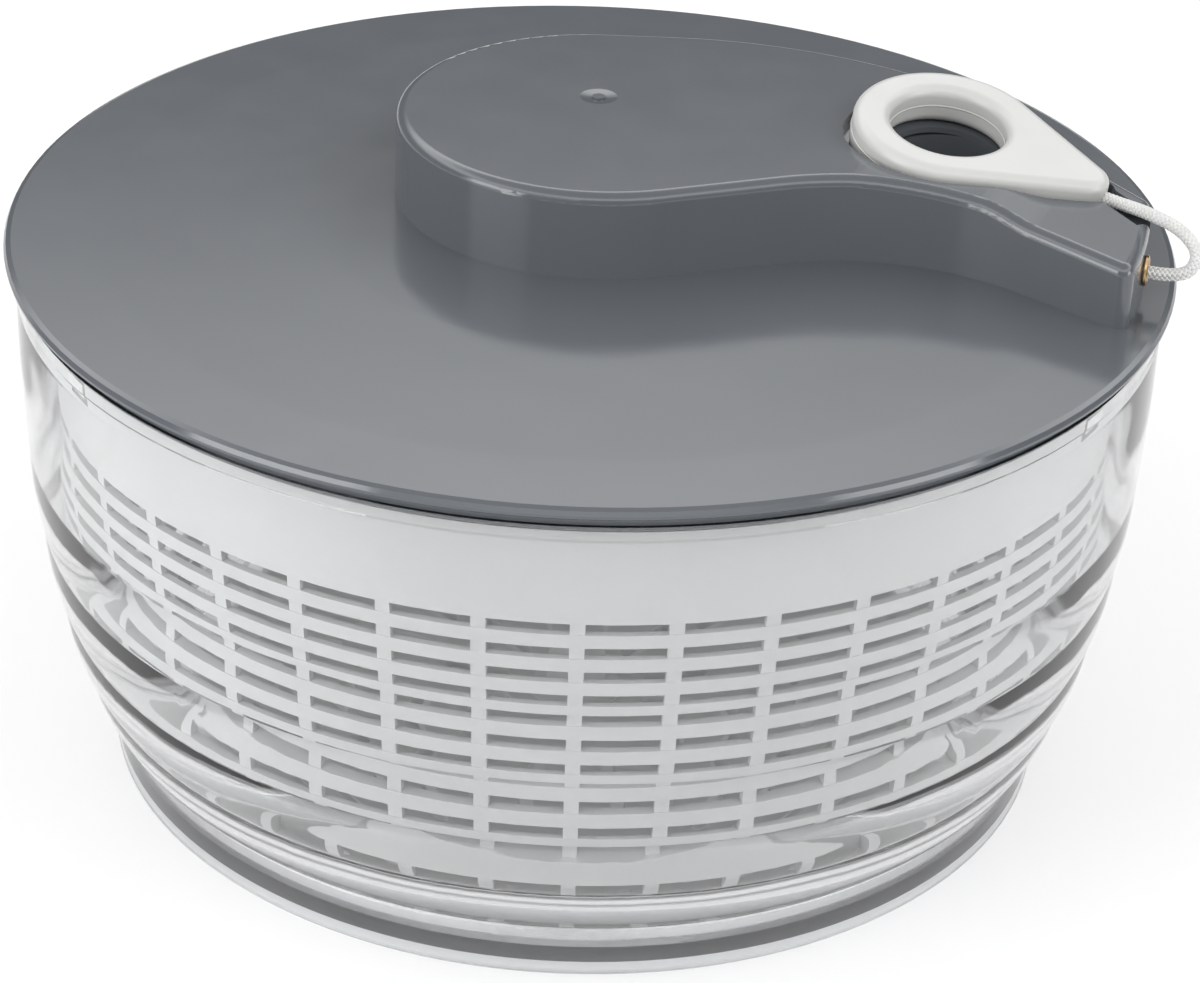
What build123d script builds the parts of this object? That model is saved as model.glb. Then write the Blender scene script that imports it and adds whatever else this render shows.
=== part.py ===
from build123d import *
import math
import os

# Pull-cord salad spinner. Millimetres, +Z up, origin at the centre of the
# bowl's base. +X points towards the cord end of the lid housing.

# --- driving dimensions -------------------------------------------------
lid_radius = 130.0
lid_top_z = 127.5
lip_thickness = 2.4
bowl_wall = 2.2
bowl_rim_z = 122.9
# outer radius and height where each convex band of the bowl ends
bowl_creases = [(127.7, 116.0), (126.2, 79.0), (123.7, 60.0), (120.0, 42.0), (115.4, 26.5), (108.3, 13.0)]
bowl_floor_z = 4.4
pivot_height = 18.0

basket_band = [(121.2, 97.0), (122.5, 119.5)]
basket_side = [(121.2, 97.0), (119.4, 80.0), (116.6, 60.0), (112.0, 40.0), (106.0, 25.0), (98.0, 14.5), (90.0, 9.0)]
basket_wall = 1.7
ring_pitch = 5.95
ring_height = 3.2
ring_count = 13
rib_count = 38
rib_width = 3.1

housing_top_z = lid_top_z + 20.5
housing_wall = 2.2
round_centre = (0.8, 16.9)
round_radius = 45.7
front_bend = (68.8, -8.0)
front_bend_radius = 54.0
front_line_angle = -38.5
back_bend = (65.1, 62.6)
back_bend_radius = 102.0
back_line_angle = -51.0
tail_end_radius = 122.8
# distance from the spin axis and drop below the flat top, along the tail
tail_angle = -20.0
tail_profile = [(58.0, 0.0), (88.0, 1.8), (97.0, 4.2), (140.0, 7.0)]
tail_profile_radius = 25.0

handle_centre = (78.7, 9.4)
handle_angle = -27.0
handle_round = 21.5
handle_length = 38.8
handle_tip_radius = 5.4
handle_hole = 13.2
handle_thickness = 9.2
handle_slope = 8.0
handle_roll = 5.0
handle_top_z = lid_top_z + 24.4
boss_points = [(-17.3, 0.0), (17.0, 7.6), (17.0, -7.6)]
pocket_gap = 1.7
pocket_floor_gap = 0.4
pocket_wall = 1.3
notch_width = 16.0
notch_centre = (10.9, 26.5)
well_radius = 13.5
well_floor_z = 129.6
channel_angle = -57.0

cord_radius = 1.25
cord_wind_radius = 22.0
cord_travel = 449.25
eyelet_angle = -13.2
eyelet_z = 134.7

reel_flange_radius = 25.4
drum_radius = 20.6
spindle_radius = 3.0
arbor_radius = 4.5
spring_inner = 5.2
spring_outer = 18.4
spring_turns = 9
spring_strip = 0.35

ratchet_teeth = 12
ratchet_tip = 19.0
ratchet_root = 21.8
pawl_pivot_radius = 12.0
pawl_arm = 11.0
pawl_rest_angle = -77.1
pawl_swing = 27.0

disc_radius = 119.2
disc_z = 113.0
disc_thickness = 2.0
lug_angles = (-30, 90, 210)

cover_z = 123.6
cover_thickness = 2.0
cover_screw_points = [(-36.0, 8.0), (-5.0, 52.0), (42.0, 43.0), (98.0, -6.0)]

os.makedirs("parts", exist_ok=True)


def tube(outer, inner, z0, z1):
    body = Pos(0, 0, z0) * Cylinder(outer, z1 - z0, align=(Align.CENTER, Align.CENTER, Align.MIN))
    return body - Pos(0, 0, z0 - 1) * Cylinder(inner, z1 - z0 + 2, align=(Align.CENTER, Align.CENTER, Align.MIN))


def rod(radius, z0, z1, x=0.0, y=0.0):
    return Pos(x, y, z0) * Cylinder(radius, z1 - z0, align=(Align.CENTER, Align.CENTER, Align.MIN))


def turned(points):
    """Revolve a closed outline given as (radius, z) pairs."""
    outline = Polyline([(r, 0, z) for r, z in points], close=True)
    return revolve(make_face(outline), Axis.Z)


def polar(radius, angle):
    a = math.radians(angle)
    return radius * math.cos(a), radius * math.sin(a)


def save(shape, name):
    shape.label = name
    export_step(shape, "parts/" + name + ".step")
    print(name, "volume", round(shape.volume, 1), "solids", len(shape.solids()))


# --- bowl ---------------------------------------------------------------
def band_edges():
    """Convex arcs, one per band, from the rim down to the foot."""
    edges = []
    for (r0, z0), (r1, z1) in zip(bowl_creases, bowl_creases[1:]):
        middle = (r0 - 0.27 * (r0 - r1), 0, (z0 + z1) / 2)
        edges.append(ThreePointArc((r0, 0, z0), middle, (r1, 0, z1)).edge())
    return edges


def make_bowl():
    rim_r, rim_z = bowl_creases[0]
    foot_r, foot_z = bowl_creases[-1]
    inner = -bowl_wall
    outer_rim = Polyline((rim_r + inner, 0, rim_z), (rim_r + inner, 0, bowl_rim_z), (rim_r + 0.6, 0, bowl_rim_z),
                         (rim_r + 0.6, 0, bowl_rim_z - 3), (rim_r, 0, bowl_rim_z - 4), (rim_r, 0, rim_z))
    foot = Polyline((foot_r, 0, foot_z), (foot_r, 0, 1.5), (foot_r - 1.5, 0, 0), (foot_r - 4, 0, 0),
                    (foot_r - 5.5, 0, 2.0), (0, 0, 2.0), (0, 0, bowl_floor_z), (foot_r + inner - 7, 0, bowl_floor_z),
                    (foot_r + inner - 1.5, 0, bowl_floor_z + 4), (foot_r + inner, 0, foot_z))
    inside = Polyline([(r + inner, 0, z) for r, z in bowl_creases])
    wire = Wire([*outer_rim.edges(), *band_edges(), *foot.edges(), *inside.edges()])
    bowl = revolve(make_face(wire), Axis.Z)
    pivot = turned([(0, 2.5), (7.0, 2.5), (6.0, 6.0), (4.0, 8.0), (3.6, pivot_height - 1.0), (2.6, pivot_height),
                    (0, pivot_height)])
    return bowl + pivot


# --- basket -------------------------------------------------------------
def side_radius(z):
    """Outer radius of the basket side at a height, straight between listed points."""
    for (r0, z0), (r1, z1) in zip(basket_side, basket_side[1:]):
        if z1 <= z <= z0:
            return r1 + (r0 - r1) * (z - z1) / (z0 - z1)
    return basket_side[-1][0]


def make_basket_rib():
    outer = [(r - 0.25, z) for r, z in basket_side]
    inner = [(r - basket_wall + 0.2, z + 0.4) for r, z in basket_side]
    outline = [(outer[0][0], 99.0)] + outer + inner[::-1] + [(inner[0][0], 99.0)]
    face = make_face(Polyline([(r, 0, z) for r, z in outline], close=True))
    return extrude(face, amount=rib_width / 2, dir=(0, 1, 0), both=True)


def make_basket():
    (r0, z0), (r1, z1) = basket_band
    w = basket_wall
    band = turned([(r0, z0), (r1, z1 - 2), (r1 + 0.5, z1), (r1 - w - 0.3, z1), (r0 - w, z0)])
    for i in range(ring_count):
        top = z0 - 2.7 - i * ring_pitch
        low = top - ring_height
        a = side_radius(top)
        b = side_radius(low)
        band += turned([(a, top), (b, low), (b - w, low), (a - w, top)])
    rib = make_basket_rib()
    band += [Rot(0, 0, (i + 0.5) * 360 / rib_count) * rib for i in range(rib_count)]
    base_r, base_z = basket_side[-1]
    band += turned([(base_r + 0.5, base_z), (base_r - 2, base_z - 1.0), (9, base_z - 1.0), (9, base_z + 1.0),
                    (base_r - 2, base_z + 1.0)])
    slots = []
    for radius, length, count in [(24, 16, 12), (45, 16, 24), (66, 16, 38), (81.5, 8, 38)]:
        slot = Pos(0, 0, base_z - 3) * extrude(SlotOverall(length, 3.6), amount=8)
        slots += [Rot(0, 0, (i + 0.5) * 360 / count) * (Pos(radius, 0, 0) * slot) for i in range(count)]
    band -= slots
    hub = turned([(4.1, 8.6), (7.5, 8.6), (10.5, base_z), (10.5, base_z + 1.5), (7.0, 12.0), (6.2, 22.0), (0, 22.0),
                  (0, 19.0), (4.1, 18.6)])
    band += hub
    notch = Pos(r1 - 1.0, 0, z1 - 3.6) * Box(6.0, 8.4, 8.0)
    band -= [Rot(0, 0, angle) * notch for angle in lug_angles]
    return band


# --- lid housing --------------------------------------------------------
def tangent_point(corner, side):
    """Where a line from an outside corner touches the round end."""
    spread = Vector(*corner) - Vector(*round_centre)
    towards = math.degrees(math.atan2(spread.Y, spread.X))
    x, y = polar(round_radius, towards + side * math.degrees(math.acos(round_radius / spread.length)))
    return round_centre[0] + x, round_centre[1] + y


def housing_outline():
    """Comma shape: round end over the reel, hollow front edge, tail ending near the rim."""
    front = tangent_point(front_bend, -1)
    back = tangent_point(back_bend, 1)
    far = 120.0
    front_x, front_y = polar(far, front_line_angle)
    back_x, back_y = polar(far, back_line_angle)
    front_far = (front_bend[0] + front_x, front_bend[1] + front_y)
    back_far = (back_bend[0] + back_x, back_bend[1] + back_y)
    round_end = ThreePointArc(back, (round_centre[0] - round_radius, round_centre[1]), front)
    front_side = FilletPolyline(front, front_bend, front_far, radius=front_bend_radius)
    back_side = FilletPolyline(back_far, back_bend, back, radius=back_bend_radius)
    edges = [round_end.edge(), *front_side.edges(), Line(front_far, back_far).edge(), *back_side.edges()]
    return make_face(Wire(edges)) & Circle(tail_end_radius)


def above_tail(drop):
    """Everything above the flat top and the gently falling tail, lowered by a wall thickness."""
    points = [(-200, 0, 0)] + [(r, 0, -fall) for r, fall in tail_profile] + [(200, 0, -tail_profile[-1][1])]
    surface = FilletPolyline(*points, radius=tail_profile_radius)
    sky = Polyline(points[-1], (200, 0, 40), (-200, 0, 40), points[0])
    face = make_face(Wire([*surface.edges(), *sky.edges()]))
    solid = extrude(face, amount=200, dir=(0, 1, 0), both=True)
    return Pos(0, 0, housing_top_z - drop) * Rot(0, 0, tail_angle) * solid


def teardrop(grow):
    """Handle outline: large round end, tapering to a small round tip."""
    a = handle_round + grow
    b = handle_tip_radius + grow
    reach = handle_length - handle_tip_radius
    lean = math.asin((a - b) / reach)
    ax, ay = a * math.sin(lean), a * math.cos(lean)
    bx, by = reach + b * math.sin(lean), b * math.cos(lean)
    edges = [ThreePointArc((ax, ay), (-a, 0), (ax, -ay)), Line((ax, -ay), (bx, -by)),
             ThreePointArc((bx, -by), (reach + b, 0), (bx, by)), Line((bx, by), (ax, ay))]
    return make_face(Wire([e.edge() for e in edges]))


def handle_plane(drop):
    """Tilted frame lying on the handle's top face, lowered by a distance."""
    centre = Pos(handle_centre[0], handle_centre[1], handle_top_z) * Rot(0, 0, handle_angle)
    return centre * Rot(0, handle_slope, 0) * Rot(handle_roll, 0, 0) * Pos(0, 0, -drop)


def make_housing():
    outline = housing_outline()
    block = Pos(0, 0, lid_top_z - 1.0) * extrude(outline, amount=21.5)
    end_corners = [e for e in block.edges() if is_vertical(e) and e.center().X > 112]
    block = fillet(end_corners, 2.5) - above_tail(0)
    top_edges = [e for e in block.edges() if e.center().Z > lid_top_z + 12.5 and not is_vertical(e)]
    outer = fillet(top_edges, 2.4)
    cavity = Pos(0, 0, lid_top_z - 8.0) * extrude(offset(outline, amount=-housing_wall), amount=40)
    cavity -= above_tail(housing_wall)
    return outer, cavity


def is_vertical(edge):
    return edge.geom_type == GeomType.LINE and abs(edge.tangent_at(0.5).Z) > 0.9


def lid_plate():
    top = lid_top_z
    under = lid_top_z - lip_thickness
    r = lid_radius
    profile = [(0, top + 0.6), (60, top + 0.5), (110, top + 0.2), (r - 1.6, top), (r - 0.5, top - 0.4), (r, top - 1.3),
               (r - 0.1, top - 2.0), (r - 0.6, under), (127.6, under), (127.4, bowl_rim_z), (125.2, bowl_rim_z),
               (125.2, 121.2), (124.8, 120.8), (124.0, 120.8), (123.9, 121.4), (123.7, under), (0, under)]
    return turned(profile)


def finger_notch(grow):
    """Gap in the back wall where a finger gets under the handle's edge."""
    box = Box(notch_width + 2 * grow, 24.0, 40.0, align=(Align.CENTER, Align.CENTER, Align.MIN))
    return Pos(*notch_centre, 0) * Rot(0, 0, back_line_angle - handle_angle) * box


def make_lid():
    plate = lid_plate()
    housing, cavity = make_housing()
    floor = handle_thickness + pocket_floor_gap
    pocket = handle_plane(floor) * (extrude(teardrop(pocket_gap), amount=40) + finger_notch(0))
    tub = extrude(teardrop(pocket_gap + pocket_wall), amount=40) + finger_notch(pocket_wall)
    tub = handle_plane(floor + pocket_wall) * tub
    tub += rod(well_radius + pocket_wall, well_floor_z - pocket_wall, handle_top_z - floor, *handle_centre)
    tub -= above_tail(0.8)
    channel = Pos(0, 0, lid_top_z + 11.2) * channel_box(6.4, 12.0, 18.0)
    gutter = Pos(0, 0, lid_top_z + 9.8) * channel_box(9.6, 8.0, 14.0)
    gutter -= above_tail(0.8)
    bosses = [rod(3.4, cover_z + cover_thickness, housing_top_z, x, y) for x, y in cover_screw_points]
    boss = rod(8.0, 143.9, housing_top_z)
    inside = Sketch() + offset(housing_outline(), amount=-0.6)
    limit = Pos(0, 0, lid_top_z - 6.0) * extrude(inside, amount=40) - above_tail(0.8)
    inserts = (Part() + bosses + [boss, tub, gutter]) & limit
    lid = plate + housing - cavity + inserts
    lid -= pocket
    lid -= rod(well_radius, well_floor_z, handle_top_z, *handle_centre)
    lid -= channel
    lid -= [rod(1.4, cover_z, lid_top_z + 7.0, x, y) for x, y in cover_screw_points]
    lid -= rod(arbor_radius + 0.01, 140.0, 146.6)
    ex, ey = polar(tail_end_radius, eyelet_angle)
    lid -= Pos(ex, ey, eyelet_z) * Rot(0, 0, eyelet_angle) * Rot(0, 90, 0) * Cylinder(2.62, 12)
    dimple = Pos(0.5, 24.6, housing_top_z + 26.0) * Sphere(26.35)
    pip = Pos(0.5, 24.6, housing_top_z - 0.6) * Cylinder(1.5, 0.7, align=(Align.CENTER, Align.CENTER, Align.MIN))
    lid -= dimple
    return lid + pip


def channel_box(width, height, length):
    """Open groove that leads the cord from the pocket's tip over the tail's end."""
    box = Box(length, width, height, align=(Align.MIN, Align.CENTER, Align.MIN))
    tip = handle_point(handle_length, 0)
    return Pos(tip[0], tip[1], 0) * Rot(0, 0, channel_angle) * Pos(-3.0, 0, 0) * box


def make_cover():
    plate = Pos(0, 0, cover_z) * extrude(offset(housing_outline(), amount=-housing_wall - 0.3), amount=cover_thickness)
    plate -= rod(9.0, cover_z - 1, cover_z + 5)
    plate -= [rod(1.6, cover_z - 1, cover_z + 5, x, y) for x, y in cover_screw_points]
    return plate


def make_cover_screws():
    screws = []
    for x, y in cover_screw_points:
        head = rod(2.9, cover_z - 1.7, cover_z, x, y)
        recess = Pos(x, y, cover_z - 1.3) * (Box(3.2, 0.8, 1.2) + Box(0.8, 3.2, 1.2))
        screws.append(head + rod(1.38, cover_z, lid_top_z + 6.5, x, y) - recess)
    return Compound(children=screws)


def make_eyelet():
    profile = [(1.75, -3.6), (2.6, -3.6), (2.6, 0.05), (3.3, 0.05), (3.5, 0.4), (3.3, 0.85), (2.5, 1.1), (1.9, 0.85),
               (1.75, 0.4)]
    ring = turned(profile)
    ex, ey = polar(tail_end_radius, eyelet_angle)
    return Pos(ex, ey, eyelet_z) * Rot(0, 0, eyelet_angle) * Rot(0, 90, 0) * ring


def make_spindle():
    post = rod(spindle_radius, 109.9, 132.9) + rod(arbor_radius, 132.9, 146.4)
    slot = Pos(0, 0, 138.0) * Box(20.0, 0.9, 9.0)
    return post - slot - rod(1.3, 100.0, 118.0)


# --- cord reel ----------------------------------------------------------
def make_reel():
    body = turned([(spindle_radius + 0.05, 115.6), (5.0, 115.6), (5.0, 121.6), (7.5, 121.6), (7.5, 130.4),
                   (reel_flange_radius, 130.4), (reel_flange_radius, 131.8), (drum_radius, 131.8),
                   (drum_radius, 142.2), (reel_flange_radius, 142.2), (reel_flange_radius, 143.5), (19.0, 143.5),
                   (19.0, 132.2), (spindle_radius + 0.05, 132.2)])
    tail_hole = Pos(*polar(20.0, -60), 134.5) * Rot(0, 0, -60) * Rot(0, 90, 0) * Cylinder(1.0, 8.0)
    return body - tail_hole


def make_reel_cap():
    return turned([(5.6, 142.1), (18.9, 142.1), (18.9, 143.5), (5.6, 143.5)])


def make_cord_winding():
    ridges = Part()
    for z in (133.25, 135.75, 138.25, 140.75):
        ridges += Pos(0, 0, z) * Torus(cord_wind_radius, cord_radius + 0.03)
    return ridges


def make_recoil_spring():
    turns = spring_turns
    inner = []
    outer = []
    steps = turns * 12
    for i in range(steps + 1):
        r = spring_inner + (spring_outer - spring_inner) * i / steps
        x, y = polar(r, 30.0 * i)
        inner.append((x, y))
        x, y = polar(r + spring_strip, 30.0 * i)
        outer.append((x, y))
    edges = [Spline(*inner).edge(), Line(inner[-1], outer[-1]).edge(), Spline(*outer).edge(),
             Line(outer[0], inner[0]).edge()]
    return Pos(0, 0, 133.4) * extrude(make_face(Wire(edges)), amount=8.0)


def make_pawl_carrier():
    plate = tube(15.6, 5.02, 115.6, 117.8) + tube(7.6, 5.02, 117.8, 121.4)
    for i in range(3):
        x, y = polar(pawl_pivot_radius, 120 * i)
        plate -= rod(1.25, 115.0, 119.0, x, y)
    return plate


def make_pawl_pins():
    pins = []
    for i in range(3):
        x, y = polar(pawl_pivot_radius, 120 * i)
        pins.append(rod(1.25, 115.6, 121.2, x, y) + rod(1.9, 121.2, 121.9, x, y))
    return Compound(children=pins)


def make_pawl(index):
    """Arm from its pivot eye to a chisel tip, drawn in the released position."""
    arm = Polyline([(0, 2.3), (6.0, 1.7), (pawl_arm - 0.6, 0.9), (pawl_arm, 0.3), (pawl_arm, -0.6),
                    (pawl_arm - 0.6, -0.9), (5.0, -1.7), (0, -2.3)], close=True)
    shape = make_face(arm) + Circle(2.3)
    body = extrude(shape, amount=2.7) - Pos(0, 0, -1) * Cylinder(1.3, 8)
    return Rot(0, 0, 120 * index) * Pos(pawl_pivot_radius, 0, 118.1) * Rot(0, 0, pawl_rest_angle) * body


# --- driver disc --------------------------------------------------------
def ratchet_cut():
    """Opening of the ratchet ring: its steep faces are what the pawl tips push on."""
    step = 360 / ratchet_teeth
    face_angle = -34.8
    points = []
    for i in range(ratchet_teeth):
        base = face_angle + i * step
        points.append(polar(ratchet_tip, base - 4.0))
        points.append(polar(ratchet_tip, base))
        points.append(polar(ratchet_root, base + 0.6))
        points.append(polar(ratchet_root, base + 9.0))
        points.append(polar(20.6, base + 17.0))
    outline = Polyline([(x, y) for x, y in points], close=True)
    return Pos(0, 0, 115.0) * extrude(make_face(outline), amount=10)


def make_driver():
    plate = rod(disc_radius, disc_z, disc_z + disc_thickness)
    plate += tube(24.4, 17.0, disc_z, 121.8)
    plate += tube(7.0, 3.0, 110.9, disc_z + disc_thickness)
    plate += tube(disc_radius, disc_radius - 2.0, disc_z, disc_z + 3.4)
    lug = Pos(disc_radius + 0.4, 0, disc_z + 2.4) * Box(6.0, 7.4, 3.2)
    plate += [Rot(0, 0, angle) * lug for angle in lug_angles]
    rib = Pos(70.0, 0, disc_z + 2.6) * Box(96.0, 1.6, 3.2)
    plate += [Rot(0, 0, i * 45) * rib for i in range(8)]
    window = Pos(0, 0, disc_z - 1) * extrude(offset(window_face(), amount=0.01), amount=6)
    plate -= [Rot(0, 0, i * 45 + 22.5) * window for i in range(8)]
    plate -= ratchet_cut()
    plate -= rod(spindle_radius + 0.05, 100.0, 125.0)
    return plate


def window_face():
    face = Pos(78.0, 0, 0) * Trapezoid(50.0, 44.0, 67.0, 67.0, rotation=90)
    return fillet(face.vertices(), 5.0)


def make_washer():
    return tube(6.4, 1.6, 109.0, 109.85)


def make_retainer_screw():
    head = rod(3.1, 106.9, 109.0) + rod(1.28, 109.0, 117.0)
    return head - (Pos(0, 0, 107.2) * (Box(3.6, 0.9, 1.4) + Box(0.9, 3.6, 1.4)))


# --- handle and cord ----------------------------------------------------
def handle_half(lower):
    half = handle_thickness / 2
    shape = teardrop(0) - Circle(handle_hole)
    body = extrude(shape, amount=half)
    rim = body.edges().filter_by(lambda e: abs(e.center().Z - half) < 0.01)
    body = fillet(rim, 2.3)
    cavity = offset(teardrop(-2.2), amount=0) - Circle(handle_hole + 2.0)
    body -= Pos(0, 0, -0.01) * extrude(cavity, amount=half - 1.6)
    screw_depth = half + 1.0 if lower else 1.3
    for x, y in boss_points:
        body += Pos(x, y, 0) * Cylinder(2.2, half - 1.0, align=(Align.CENTER, Align.CENTER, Align.MIN))
        body -= Pos(x, y, 0) * Cylinder(1.02, 2 * screw_depth)
    body -= Pos(handle_length - 6, 0, 0) * Rot(0, 90, 0) * Cylinder(cord_radius + 0.15, 16)
    if lower:
        body = Rot(180, 0, 0) * body
    return handle_plane(half) * body


def make_handle_screws():
    screws = []
    half = handle_thickness / 2
    for x, y in boss_points:
        screws.append(Pos(x, y, -half + 0.4) * Cylinder(1.0, half + 0.7, align=(Align.CENTER, Align.CENTER, Align.MIN)))
    return handle_plane(half) * Compound(children=screws)


def cord_tube(points, radii):
    path = FilletPolyline(*points, radius=radii)
    start = Plane(origin=path @ 0, z_dir=path % 0)
    body = sweep(start * Circle(cord_radius), path=path)
    expected = math.pi * cord_radius ** 2 * path.length
    print("cord length", round(path.length, 1), "radii", [round(r, 2) for r in radii],
          "volume ratio", round(body.volume / expected, 4))
    return body


def corner_radii(points):
    """Largest comfortable arc at each inner point of a route."""
    radii = []
    for a, b, c in zip(points, points[1:], points[2:]):
        u = Vector(*b) - Vector(*a)
        v = Vector(*c) - Vector(*b)
        turn = math.radians(u.get_angle(v))
        radii.append(0.45 * min(u.length, v.length) / math.tan(turn / 2))
    return radii


def handle_point(x, z):
    """A point on the handle axis, measured from the hole centre and the middle plane."""
    spot = handle_plane(handle_thickness / 2) * Pos(x, 0, z)
    return tuple(spot.position)


def inner_route():
    ex, ey = polar(tail_end_radius - 9.0, eyelet_angle)
    gx, gy = polar(tail_end_radius - 2.0, eyelet_angle)
    leave_radius = cord_wind_radius + 2 * cord_radius + 0.35
    tangent = eyelet_angle + math.degrees(math.acos(leave_radius / tail_end_radius))
    tx, ty = polar(leave_radius, tangent)
    return [(tx, ty, eyelet_z - 0.3), (ex, ey, eyelet_z), (gx, gy, eyelet_z)]


def outer_route():
    gx, gy = polar(tail_end_radius - 2.0, eyelet_angle)
    return [(gx, gy, eyelet_z), (127.6, -30.2, 133.6), (131.6, -28.6, 138.6), (127.6, -24.6, 143.0),
            (120.6, -18.6, 144.0), handle_point(handle_length + 3.0, 0), handle_point(handle_length - 4.3, 0)]


def make_cord_knot():
    return handle_plane(handle_thickness / 2) * Pos(handle_length - 6.6, 0, 0) * Sphere(2.0)


def main():
    save(make_bowl(), "bowl")
    save(make_basket(), "basket")
    save(make_lid(), "lid_shell")
    save(make_cover(), "mechanism_cover")
    save(make_cover_screws(), "cover_screws")
    save(make_eyelet(), "cord_eyelet")
    save(make_spindle(), "spindle")
    save(make_reel(), "cord_reel")
    save(make_reel_cap(), "reel_cap")
    save(make_cord_winding(), "cord_winding")
    save(make_recoil_spring(), "recoil_spring")
    save(make_pawl_carrier(), "pawl_carrier")
    save(make_pawl_pins(), "pawl_pins")
    for index in range(3):
        save(make_pawl(index), "pawl_" + str(index + 1))
    save(make_driver(), "driver_disc")
    save(make_washer(), "retainer_washer")
    save(make_retainer_screw(), "retainer_screw")
    save(handle_half(False), "handle_top")
    save(handle_half(True), "handle_bottom")
    save(make_handle_screws(), "handle_screws")
    save(make_cord_knot(), "cord_knot")
    inner = inner_route()
    save(cord_tube(inner, corner_radii(inner)), "pull_cord_inner")
    outer = outer_route()
    save(cord_tube(outer, corner_radii(outer)), "pull_cord_outer")


main()
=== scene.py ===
import math
import bmesh
import bpy
from mathutils import Matrix, Vector


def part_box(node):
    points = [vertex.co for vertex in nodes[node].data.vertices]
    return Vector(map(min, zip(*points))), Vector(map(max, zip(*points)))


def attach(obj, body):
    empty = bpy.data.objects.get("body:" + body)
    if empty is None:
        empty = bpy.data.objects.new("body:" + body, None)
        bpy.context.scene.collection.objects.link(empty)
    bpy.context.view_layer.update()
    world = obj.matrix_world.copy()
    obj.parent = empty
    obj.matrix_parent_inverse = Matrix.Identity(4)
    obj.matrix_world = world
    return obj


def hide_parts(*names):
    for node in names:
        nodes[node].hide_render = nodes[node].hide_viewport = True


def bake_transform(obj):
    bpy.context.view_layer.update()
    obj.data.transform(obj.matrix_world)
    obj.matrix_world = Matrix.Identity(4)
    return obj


# Pull-cord salad spinner. Metres, +Z up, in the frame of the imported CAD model.
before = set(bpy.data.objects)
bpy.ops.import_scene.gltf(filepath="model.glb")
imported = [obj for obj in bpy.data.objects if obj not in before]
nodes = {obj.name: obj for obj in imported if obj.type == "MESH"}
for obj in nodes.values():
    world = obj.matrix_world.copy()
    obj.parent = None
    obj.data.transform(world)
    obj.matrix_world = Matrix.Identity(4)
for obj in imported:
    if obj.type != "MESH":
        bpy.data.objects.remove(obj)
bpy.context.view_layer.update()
scene = bpy.context.scene

# cord routes of the CAD model: from the reel to the eyelet, and from there to the handle
INNER_ROUTE = [
    (0.010453, 0.022545, 0.1344), (0.110797, -0.025987, 0.1347), (0.117608, -0.027585, 0.1347),
]
OUTER_ROUTE = [
    (0.117608, -0.027585, 0.1347), (0.1276, -0.0302, 0.1336), (0.1316, -0.0286, 0.1386),
    (0.1276, -0.0246, 0.1430), (0.1206, -0.0186, 0.1440), (0.115195, -0.008745, 0.141545),
    (0.108754, -0.005463, 0.142561),
]
CORD_DIAMETER = 0.0025
# distance between the points that a braid is made from
OUTER_STEP = 0.00013
INNER_STEP = 0.00028

# handle of the CAD model
HANDLE_CENTRE = (0.0787, 0.0094, 0.1519)
HANDLE_TURN = (-27.0, 8.0, 5.0)
HANDLE_HALF = 0.0046
HANDLE_ROUND = 0.0215
HANDLE_TIP = 0.0054
HANDLE_LENGTH = 0.0388
HANDLE_HOLE = 0.0132

KNOT_POINTS = 96
SEAM_WIDTH = 0.00016
SEAM_HEIGHT = 0.00024
SKY_STRENGTH = 3.3
FLOOR_DROP = 0.0006
LAMP_AIM = (0, 0, 0.1)


# --- camera -------------------------------------------------------------
def add_camera():
    yaw, pitch, roll = -0.00803, 0.50896, 0.03951
    side = Vector((math.cos(yaw), math.sin(yaw), 0))
    ahead = Vector((-math.sin(yaw), math.cos(yaw), 0))
    rise = ahead * math.sin(pitch) + Vector((0, 0, math.cos(pitch)))
    forward = ahead * math.cos(pitch) - Vector((0, 0, math.sin(pitch)))
    right = side * math.cos(roll) + rise * math.sin(roll)
    up = rise * math.cos(roll) - side * math.sin(roll)
    data = bpy.data.cameras.new("camera")
    data.lens = 118.69
    data.sensor_fit = "HORIZONTAL"
    data.sensor_width = 36.0
    data.shift_x = -0.00844
    data.shift_y = 0.00236
    data.clip_start = 0.01
    camera = bpy.data.objects.new("camera", data)
    scene.collection.objects.link(camera)
    turn = Matrix((right, up, -forward)).transposed().to_4x4()
    camera.matrix_world = Matrix.Translation((0.0, -0.8, 0.505295)) @ turn
    scene.camera = camera


# --- node materials -----------------------------------------------------
def new_material(name):
    mat = bpy.data.materials.new(name)
    mat.use_nodes = True
    return mat, mat.node_tree.nodes, mat.node_tree.links


def noise(tree, vector, scale, detail=3.0, distortion=0.0):
    node = tree.nodes.new("ShaderNodeTexNoise")
    node.inputs["Scale"].default_value = scale
    node.inputs["Detail"].default_value = detail
    node.inputs["Distortion"].default_value = distortion
    tree.links.new(vector, node.inputs["Vector"])
    return node.outputs["Fac"]


def spread(tree, value, low, high):
    """Map a 0..1 texture to a range."""
    node = tree.nodes.new("ShaderNodeMapRange")
    node.inputs["From Min"].default_value = 0.3
    node.inputs["From Max"].default_value = 0.7
    node.inputs["To Min"].default_value = low
    node.inputs["To Max"].default_value = high
    tree.links.new(value, node.inputs["Value"])
    return node.outputs["Result"]


def two_tone(tree, value, dark, light):
    node = tree.nodes.new("ShaderNodeValToRGB")
    node.color_ramp.elements[0].position = 0.3
    node.color_ramp.elements[1].position = 0.7
    node.color_ramp.elements[0].color = (*dark, 1)
    node.color_ramp.elements[1].color = (*light, 1)
    tree.links.new(value, node.inputs["Fac"])
    return node.outputs["Color"]


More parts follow.
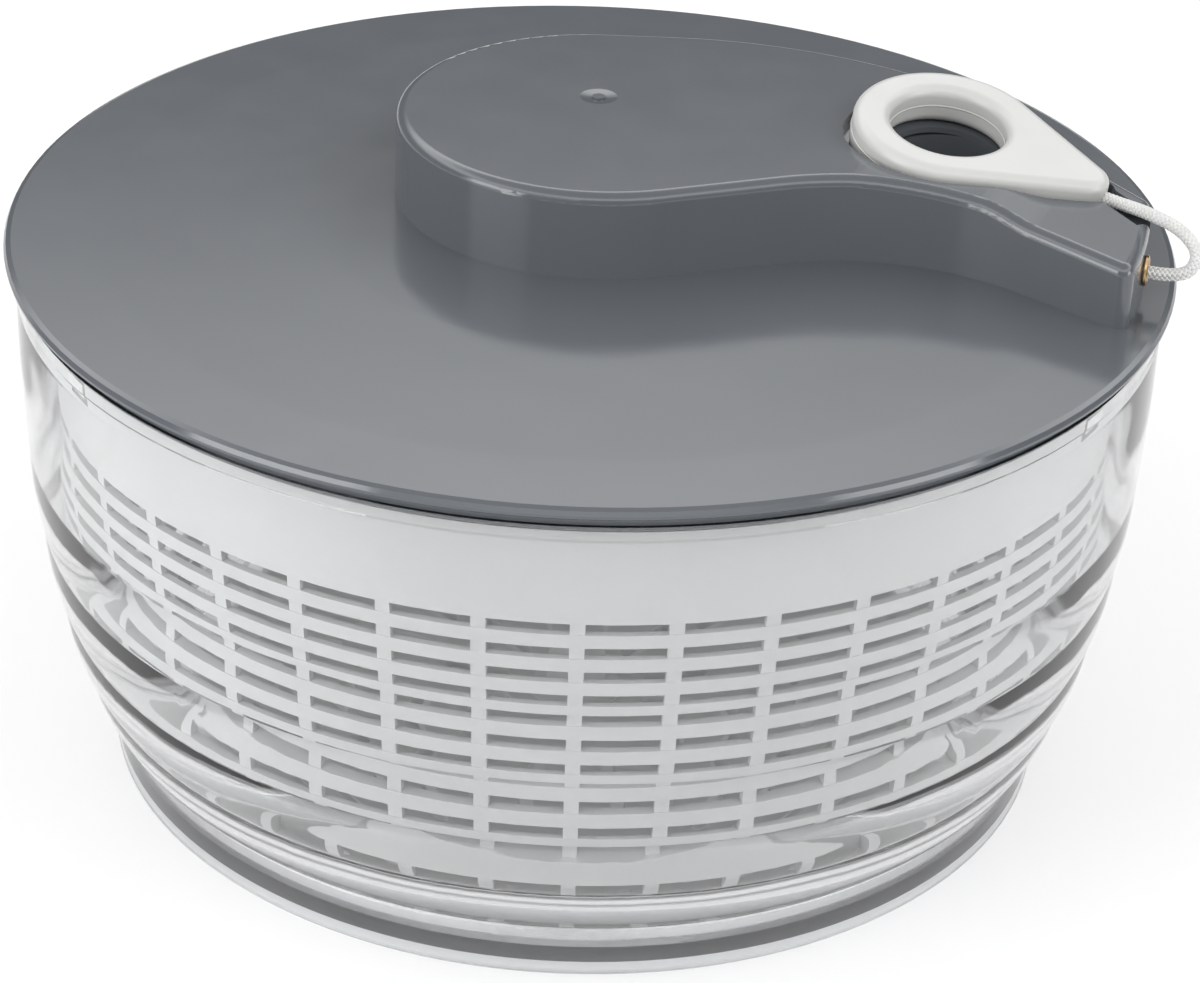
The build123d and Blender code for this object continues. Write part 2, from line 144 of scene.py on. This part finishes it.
def bump(tree, height, strength, distance, before=None):
    node = tree.nodes.new("ShaderNodeBump")
    node.inputs["Strength"].default_value = strength
    node.inputs["Distance"].default_value = distance
    tree.links.new(height, node.inputs["Height"])
    if before:
        tree.links.new(before, node.inputs["Normal"])
    return node.outputs["Normal"]


def plastic(name, colour, roughness, grain=1800.0, grain_depth=0.00002, flow=14.0, sockets=()):
    """Moulded plastic: faint flow marks in colour and gloss, a fine grain and a slow waviness."""
    mat, _, links = new_material(name)
    tree = mat.node_tree
    shader = tree.nodes["Principled BSDF"]
    place = tree.nodes.new("ShaderNodeTexCoord").outputs["Object"]
    marks = noise(tree, place, flow, 4.0, 0.4)
    dark = tuple(c * 0.965 for c in colour)
    light = tuple(min(1.0, c * 1.03) for c in colour)
    links.new(two_tone(tree, marks, dark, light), shader.inputs["Base Color"])
    smears = noise(tree, place, flow * 6, 5.0)
    links.new(spread(tree, smears, roughness * 0.88, roughness * 1.12), shader.inputs["Roughness"])
    fine = bump(tree, noise(tree, place, grain, 2.0), 0.35, grain_depth)
    slow = bump(tree, noise(tree, place, 22.0, 1.0), 0.5, 0.00015, fine)
    links.new(slow, shader.inputs["Normal"])
    for socket, value in sockets:
        shader.inputs[socket].default_value = value
    return mat


def clear_plastic(name):
    """Clear styrene: refracts, lets lamps through, is frosted under the foot and has moulding waves."""
    mat, _, links = new_material(name)
    tree = mat.node_tree
    shader = tree.nodes["Principled BSDF"]
    shader.inputs["Base Color"].default_value = (0.80, 0.805, 0.81, 1)
    shader.inputs["IOR"].default_value = 1.52
    shader.inputs["Transmission Weight"].default_value = 1.0
    place = tree.nodes.new("ShaderNodeTexCoord").outputs["Object"]
    height = tree.nodes.new("ShaderNodeSeparateXYZ")
    links.new(place, height.inputs["Vector"])
    frost = tree.nodes.new("ShaderNodeMapRange")
    limits = {"From Min": 0.0034, "From Max": 0.0018, "To Min": 0.0, "To Max": 0.45}
    for socket, value in limits.items():
        frost.inputs[socket].default_value = value
    links.new(height.outputs["Z"], frost.inputs["Value"])
    gloss = tree.nodes.new("ShaderNodeMath")
    gloss.operation = "MAXIMUM"
    links.new(spread(tree, noise(tree, place, 35.0, 4.0), 0.012, 0.035), gloss.inputs[0])
    links.new(frost.outputs["Result"], gloss.inputs[1])
    links.new(gloss.outputs["Value"], shader.inputs["Roughness"])
    links.new(bump(tree, noise(tree, place, 26.0, 1.0, 0.3), 0.55, 0.0005), shader.inputs["Normal"])
    through = tree.nodes.new("ShaderNodeBsdfTransparent")
    through.inputs["Color"].default_value = (0.86, 0.87, 0.88, 1)
    path = tree.nodes.new("ShaderNodeLightPath")
    mixed = tree.nodes.new("ShaderNodeMixShader")
    links.new(path.outputs["Is Shadow Ray"], mixed.inputs["Fac"])
    links.new(shader.outputs["BSDF"], mixed.inputs[1])
    links.new(through.outputs["BSDF"], mixed.inputs[2])
    links.new(mixed.outputs["Shader"], tree.nodes["Material Output"].inputs["Surface"])
    return mat


def metal(name, colour, roughness, lines=900.0):
    """Turned or drawn metal: fine tool lines and worn gloss."""
    mat, _, links = new_material(name)
    tree = mat.node_tree
    shader = tree.nodes["Principled BSDF"]
    shader.inputs["Metallic"].default_value = 1.0
    place = tree.nodes.new("ShaderNodeTexCoord").outputs["Object"]
    wear = noise(tree, place, 260.0, 4.0)
    dark = tuple(c * 0.82 for c in colour)
    links.new(two_tone(tree, wear, dark, colour), shader.inputs["Base Color"])
    links.new(spread(tree, wear, roughness * 0.7, roughness * 1.3), shader.inputs["Roughness"])
    links.new(bump(tree, noise(tree, place, lines, 3.0), 0.4, 0.00004), shader.inputs["Normal"])
    return mat


def fibre(name, colour):
    """Twisted polyester yarn of the pull cord."""
    mat, _, links = new_material(name)
    tree = mat.node_tree
    shader = tree.nodes["Principled BSDF"]
    place = tree.nodes.new("ShaderNodeTexCoord").outputs["Object"]
    threads = noise(tree, place, 5200.0, 3.0, 0.6)
    soil = noise(tree, place, 240.0, 3.0)
    dark = tuple(c * 0.88 for c in colour)
    links.new(two_tone(tree, soil, dark, colour), shader.inputs["Base Color"])
    links.new(spread(tree, threads, 0.6, 0.85), shader.inputs["Roughness"])
    links.new(bump(tree, threads, 0.6, 0.00006), shader.inputs["Normal"])
    shader.inputs["Sheen Weight"].default_value = 0.25
    shader.inputs["Sheen Roughness"].default_value = 0.4
    return mat


def clad(mat, *names):
    """Give CAD nodes a material."""
    for name in names:
        slots = nodes[name].data.materials
        slots.clear()
        slots.append(mat)


# --- mesh helpers -------------------------------------------------------
def add_piece(name, bm, mat, body=None):
    mesh = bpy.data.meshes.new(name)
    bmesh.ops.recalc_face_normals(bm, faces=bm.faces)
    bm.to_mesh(mesh)
    bm.free()
    mesh.materials.append(mat)
    for polygon in mesh.polygons:
        polygon.use_smooth = True
    piece = bpy.data.objects.new(name, mesh)
    scene.collection.objects.link(piece)
    if body:
        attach(piece, body)
    return piece


def read_route(route, steps=24):
    """Points on the smooth line that a route's control points give."""
    data = bpy.data.curves.new("route", "CURVE")
    data.dimensions = "3D"
    data.resolution_u = steps
    spline = data.splines.new("NURBS")
    spline.points.add(len(route) - 1)
    for point, spot in zip(spline.points, route):
        point.co = (*spot, 1.0)
    spline.order_u = 3
    spline.use_endpoint_u = True
    holder = bpy.data.objects.new("route", data)
    scene.collection.objects.link(holder)
    bpy.context.view_layer.update()
    mesh = bpy.data.meshes.new_from_object(holder)
    points = [v.co.copy() for v in mesh.vertices]
    bpy.data.objects.remove(holder)
    bpy.data.meshes.remove(mesh)
    return points


def evenly(points, step):
    """The same line with points a fixed step apart."""
    lengths = [(b - a).length for a, b in zip(points, points[1:])]
    total = sum(lengths)
    count = max(2, round(total / step))
    spots = []
    k = 0
    passed = 0.0
    for i in range(count + 1):
        want = total * i / count
        while k < len(lengths) - 1 and passed + lengths[k] < want:
            passed += lengths[k]
            k += 1
        share = (want - passed) / lengths[k]
        spots.append(points[k].lerp(points[k + 1], min(1.0, share)))
    return spots, total / count


def frames_along(spots):
    """A point, a normal and a side direction at each spot, without twist."""
    result = []
    normal = None
    for i, spot in enumerate(spots):
        after = spots[min(i + 1, len(spots) - 1)]
        before = spots[max(i - 1, 0)]
        tangent = (after - before).normalized()
        if normal is None:
            normal = tangent.orthogonal()
        normal = (normal - tangent * normal.dot(tangent)).normalized()
        result.append((spot, normal, tangent.cross(normal)))
    return result


def sweep(bm, centres, axes, wide, thick, sides=6, closed=False):
    """Skin an elliptical section along centres; axes are (outward, sideways) pairs."""
    rings = []
    for centre, (outward, sideways) in zip(centres, axes):
        ring = []
        for k in range(sides):
            a = 2 * math.pi * k / sides
            offset = outward * (thick * math.cos(a)) + sideways * (wide * math.sin(a))
            ring.append(bm.verts.new(centre + offset))
        rings.append(ring)
    pairs = list(zip(rings, rings[1:]))
    if closed:
        pairs.append((rings[-1], rings[0]))
    for low, high in pairs:
        for k in range(sides):
            bm.faces.new((low[k], low[(k + 1) % sides], high[(k + 1) % sides], high[k]))
    if not closed:
        bm.faces.new(rings[0])
        bm.faces.new(rings[-1])


def braid(bm, points, radius, step, strands=6, pitch=0.0065):
    """Round braid: two families of strands that cross over and under each other, on a core."""
    spots, step = evenly(points, step)
    rails = frames_along(spots)
    thick = 0.15 * radius
    sway = 0.06 * radius
    middle = radius - 0.1 * thick
    wide = 0.36 * radius
    for hand in (1, -1):
        for k in range(strands):
            centres = []
            outwards = []
            for i, (spot, normal, side) in enumerate(rails):
                turn = 2 * math.pi * i * step / pitch
                angle = hand * turn + 2 * math.pi * k / strands
                outward = normal * math.cos(angle) + side * math.sin(angle)
                centres.append(spot + outward * (middle + hand * sway * math.cos(strands * turn)))
                outwards.append(outward)
            axes = []
            for i, outward in enumerate(outwards):
                along = centres[min(i + 1, len(centres) - 1)] - centres[max(i - 1, 0)]
                axes.append((outward, along.cross(outward).normalized()))
            sweep(bm, centres, axes, wide, thick)
    core = [(normal, side) for _, normal, side in rails]
    sweep(bm, spots, core, middle - 0.4 * thick, middle - 0.4 * thick, 12)
    return spots


# --- cords --------------------------------------------------------------
def add_cords(mat):
    points = read_route(OUTER_ROUTE)
    bm = bmesh.new()
    spots = braid(bm, points, CORD_DIAMETER / 2, OUTER_STEP)
    outer = add_piece("pull_cord", bm, mat)
    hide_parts("pull_cord_outer")
    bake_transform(outer)
    points = read_route(INNER_ROUTE)
    bm = bmesh.new()
    spots = braid(bm, points, CORD_DIAMETER / 2, INNER_STEP)
    inner = add_piece("pull_cord_run", bm, mat, "lid")
    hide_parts("pull_cord_inner")


def add_knot(mat):
    """The cord's end, knotted inside the handle."""
    low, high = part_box("cord_knot")
    middle = (Vector(low) + Vector(high)) / 2
    size = (high[0] - low[0]) / 2
    centres = []
    for i in range(KNOT_POINTS):
        t = 2 * math.pi * i / KNOT_POINTS
        r = size * (0.5 + 0.2 * math.cos(3 * t))
        offset = Vector((r * math.cos(2 * t), r * math.sin(2 * t), size * 0.34 * math.sin(3 * t)))
        centres.append(middle + offset)
    axes = []
    for i, centre in enumerate(centres):
        along = (centres[(i + 1) % KNOT_POINTS] - centres[i - 1]).normalized()
        outward = (centre - middle).normalized()
        sideways = along.cross(outward).normalized()
        axes.append((sideways.cross(along), sideways))
    bm = bmesh.new()
    sweep(bm, centres, axes, size * 0.28, size * 0.28, 10, closed=True)
    knot = add_piece("pull_cord_knot", bm, mat, "handle")
    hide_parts("cord_knot")


# --- handle seam --------------------------------------------------------
def handle_matrix():
    turn = Matrix.Identity(4)
    for degrees, axis in zip(HANDLE_TURN, "ZYX"):
        turn = turn @ Matrix.Rotation(math.radians(degrees), 4, axis)
    return Matrix.Translation(HANDLE_CENTRE) @ turn @ Matrix.Translation((0, 0, -HANDLE_HALF))


def teardrop_line(count=60):
    """Closed outline of the handle in its middle plane."""
    reach = HANDLE_LENGTH - HANDLE_TIP
    lean = math.pi / 2 - math.asin((HANDLE_ROUND - HANDLE_TIP) / reach)
    line = []
    for i in range(count + 1):
        a = lean + (2 * math.pi - 2 * lean) * i / count
        line.append(Vector((HANDLE_ROUND * math.cos(a), HANDLE_ROUND * math.sin(a), 0)))
    for i in range(count // 3 + 1):
        a = -lean + 2 * lean * i / (count // 3)
        line.append(Vector((reach + HANDLE_TIP * math.cos(a), HANDLE_TIP * math.sin(a), 0)))
    return line


def add_handle_seam(mat):
    """Fine moulding line where the handle's two halves meet."""
    place = handle_matrix()
    hole = [Vector((HANDLE_HOLE * math.cos(math.pi * i / 40), HANDLE_HOLE * math.sin(math.pi * i / 40), 0))
            for i in range(80)]
    bm = bmesh.new()
    upright = (place.to_3x3() @ Vector((0, 0, 1))).normalized()
    for line in (teardrop_line(), hole):
        centres = [place @ p for p in line]
        axes = []
        for i in range(len(centres)):
            along = (centres[(i + 1) % len(centres)] - centres[i - 1]).normalized()
            axes.append((upright, along.cross(upright).normalized()))
        sweep(bm, centres, axes, SEAM_WIDTH, SEAM_HEIGHT, 6, closed=True)
    add_piece("handle_seam", bm, mat, "handle")


# --- floor and light ----------------------------------------------------
def add_floor():
    bm = bmesh.new()
    bmesh.ops.create_grid(bm, x_segments=1, y_segments=1, size=6.0)
    mesh = bpy.data.meshes.new("floor")
    bm.to_mesh(mesh)
    bm.free()
    mat, _, _ = new_material("floor")
    shader = mat.node_tree.nodes["Principled BSDF"]
    shader.inputs["Base Color"].default_value = (0.56, 0.56, 0.56, 1)
    shader.inputs["Roughness"].default_value = 0.8
    shader.inputs["Specular IOR Level"].default_value = 0.1
    shader.inputs["Emission Color"].default_value = (1.0, 1.0, 1.0, 1)
    shader.inputs["Emission Strength"].default_value = 0.28
    mesh.materials.append(mat)
    floor = bpy.data.objects.new("floor", mesh)
    floor.location.z = -FLOOR_DROP
    scene.collection.objects.link(floor)


def add_sky():
    """Studio dome: dark below, a broad bright band above the horizon, dim overhead.

    The camera sees a plain pale backdrop in its place.
    """
    world = bpy.data.worlds.new("studio")
    world.use_nodes = True
    scene.world = world
    tree = world.node_tree
    direction = tree.nodes.new("ShaderNodeTexCoord").outputs["Generated"]
    parts = tree.nodes.new("ShaderNodeSeparateXYZ")
    tree.links.new(direction, parts.inputs["Vector"])
    ramp = tree.nodes.new("ShaderNodeValToRGB")
    stops = [(0.0, 0.05), (0.30, 0.02), (0.40, 0.05), (0.52, 0.72),
             (0.60, 1.0), (0.72, 0.85), (0.82, 0.2), (1.0, 0.1)]
    elements = ramp.color_ramp.elements
    elements.remove(elements[1])
    elements[0].color = (stops[0][1],) * 3 + (1,)
    for height, glow in stops[1:]:
        elements.new(height).color = (glow, glow, glow, 1)
    tree.links.new(parts.outputs["Z"], ramp.inputs["Fac"])
    background = tree.nodes["Background"]
    tree.links.new(ramp.outputs["Color"], background.inputs["Color"])
    background.inputs["Strength"].default_value = SKY_STRENGTH
    backdrop = tree.nodes.new("ShaderNodeBackground")
    backdrop.inputs["Color"].default_value = (0.86, 0.86, 0.86, 1)
    path = tree.nodes.new("ShaderNodeLightPath")
    mixed = tree.nodes.new("ShaderNodeMixShader")
    tree.links.new(path.outputs["Is Camera Ray"], mixed.inputs["Fac"])
    tree.links.new(background.outputs["Background"], mixed.inputs[1])
    tree.links.new(backdrop.outputs["Background"], mixed.inputs[2])
    tree.links.new(mixed.outputs["Shader"], tree.nodes["World Output"].inputs["Surface"])


def add_lamp(name, spot, aim, width, height, power):
    data = bpy.data.lights.new(name, "AREA")
    data.shape = "RECTANGLE"
    data.size = width
    data.size_y = height
    data.energy = power
    lamp = bpy.data.objects.new(name, data)
    scene.collection.objects.link(lamp)
    lamp.location = spot
    lamp.rotation_euler = (Vector(aim) - Vector(spot)).to_track_quat("-Z", "Y").to_euler()


# --- assembly -----------------------------------------------------------
def main():
    scene.view_settings.view_transform = "Standard"
    add_camera()
    cord_white = fibre("cord_white", (0.60, 0.60, 0.59))
    add_cords(cord_white)
    add_knot(cord_white)
    lid_grey = plastic("lid_grey", (0.086, 0.093, 0.103), 0.14)
    basket_white = plastic("basket_white", (0.54, 0.54, 0.535), 0.38, flow=20.0)
    handle_white = plastic("handle_white", (0.46, 0.46, 0.45), 0.34)
    cover_white = plastic("cover_white", (0.70, 0.71, 0.71), 0.42)
    mechanism = plastic("mechanism_plastic", (0.66, 0.67, 0.66), 0.45)
    ratchet = plastic("ratchet_plastic", (0.30, 0.31, 0.32), 0.4)
    clad(clear_plastic("clear_bowl"), "bowl")
    clad(basket_white, "basket")
    clad(lid_grey, "lid_shell")
    clad(cover_white, "mechanism_cover")
    clad(mechanism, "cord_reel", "reel_cap", "driver_disc")
    clad(ratchet, "pawl_carrier", "pawl_1", "pawl_2", "pawl_3")
    clad(handle_white, "handle_top", "handle_bottom")
    clad(cord_white, "cord_winding")
    clad(metal("eyelet_brass", (0.42, 0.29, 0.15), 0.3), "cord_eyelet")
    clad(metal("steel", (0.60, 0.60, 0.61), 0.3), "cover_screws", "spindle", "pawl_pins", "retainer_washer",
         "retainer_screw", "handle_screws")
    clad(metal("spring_steel", (0.34, 0.36, 0.40), 0.28), "recoil_spring")
    add_handle_seam(handle_white)
    add_floor()
    add_sky()
    add_lamp("front_softbox", (-1.2, -0.8, 0.45), LAMP_AIM, 0.9, 0.7, 13.0)
    add_lamp("side_softbox", (1.2, -0.7, 0.4), LAMP_AIM, 0.7, 0.6, 8.0)


main()
